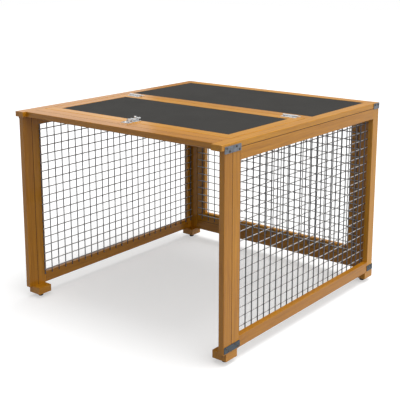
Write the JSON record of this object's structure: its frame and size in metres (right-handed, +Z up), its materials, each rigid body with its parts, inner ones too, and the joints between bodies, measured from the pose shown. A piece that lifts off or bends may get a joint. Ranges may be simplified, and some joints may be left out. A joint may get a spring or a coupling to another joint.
{
  "type": "chicken run",
  "caption": "Low timber-framed poultry run with wire mesh sides and back, an open front and a felted roof with a hinged, bolted lid.",
  "frame": {"origin": "centre of the overall box in plan, at the ground under the feet", "axes": "+Z up, -Y out of the open front, +X to the right of someone who faces the front from outside"},
  "size_m": [0.6916, 0.732, 0.539],
  "materials": {
    "stained_timber": "stained and varnished softwood",
    "plywood": "plywood, unfinished below",
    "roofing_felt": "bituminous roofing felt",
    "black_rubber": "moulded rubber glide",
    "mesh_wire": "galvanised welded wire",
    "galvanised_plate": "dull galvanised plate",
    "bright_zinc": "bright zinc plate",
    "screw_steel": "zinc-plated screw"
  },
  "bodies": {
    "root": {"back_angle_screws": "screw_steel", "back_bottom_rail": "stained_timber", "back_inner_bottom_rail": "stained_timber", "back_inner_top_rail": "stained_timber", "back_left_post": "stained_timber", "back_left_stile": "stained_timber", "back_mesh": "mesh_wire", "back_right_post": "stained_timber", "back_right_stile": "stained_timber", "back_top_rail": "stained_timber", "bolt_keeper": "bright_zinc", "front_plate_screws": "screw_steel", "keeper_screws": "screw_steel", "left_back_angles": "galvanised_plate", "left_back_foot": "stained_timber", "left_back_stile": "stained_timber", "left_bottom_rail": "stained_timber", "left_front_foot": "stained_timber", "left_front_plates": "galvanised_plate", "left_front_post": "stained_timber", "left_front_stile": "stained_timber", "left_glides": "black_rubber", "left_hinge_pin": "bright_zinc", "left_hinge_roof_leaf": "bright_zinc", "left_mesh": "mesh_wire", "left_top_rail": "stained_timber", "lid_rest_strip": "stained_timber", "rear_roof_board": "plywood", "rear_roof_felt": "roofing_felt", "right_back_angles": "galvanised_plate", "right_back_foot": "stained_timber", "right_back_stile": "stained_timber", "right_bottom_rail": "stained_timber", "right_front_foot": "stained_timber", "right_front_plates": "galvanised_plate", "right_front_post": "stained_timber", "right_front_stile": "stained_timber", "right_glides": "black_rubber", "right_hinge_pin": "bright_zinc", "right_hinge_roof_leaf": "bright_zinc", "right_mesh": "mesh_wire", "right_top_rail": "stained_timber", "roof_back_rail": "stained_timber", "roof_front_rail": "stained_timber", "roof_header_rail": "stained_timber", "roof_hinge_screws": "screw_steel", "roof_left_rail": "stained_timber", "roof_mid_rail": "stained_timber", "roof_right_rail": "stained_timber"},
    "lid": {"lid_back_rail": "stained_timber", "lid_board": "plywood", "lid_felt": "roofing_felt", "lid_front_rail": "stained_timber", "lid_left_rail": "stained_timber", "lid_right_rail": "stained_timber", "lid_screws": "screw_steel", "left_hinge_lid_leaf": "bright_zinc", "right_hinge_lid_leaf": "bright_zinc", "bolt_housing": "bright_zinc"},
    "bolt": {"bolt_rod": "bright_zinc"}
  },
  "joints": [
    {"name": "lid_hinge", "type": "hinge", "parent": "root", "child": "lid", "pos_m": [0, 0.022, 0.5297], "axis": [-1, 0, 0], "range_deg": [0, 174]},
    {"name": "bolt_slide", "type": "slide", "parent": "lid", "child": "bolt", "axis": [0, -1, 0], "range_m": [0, 0.0085]}
  ]
}
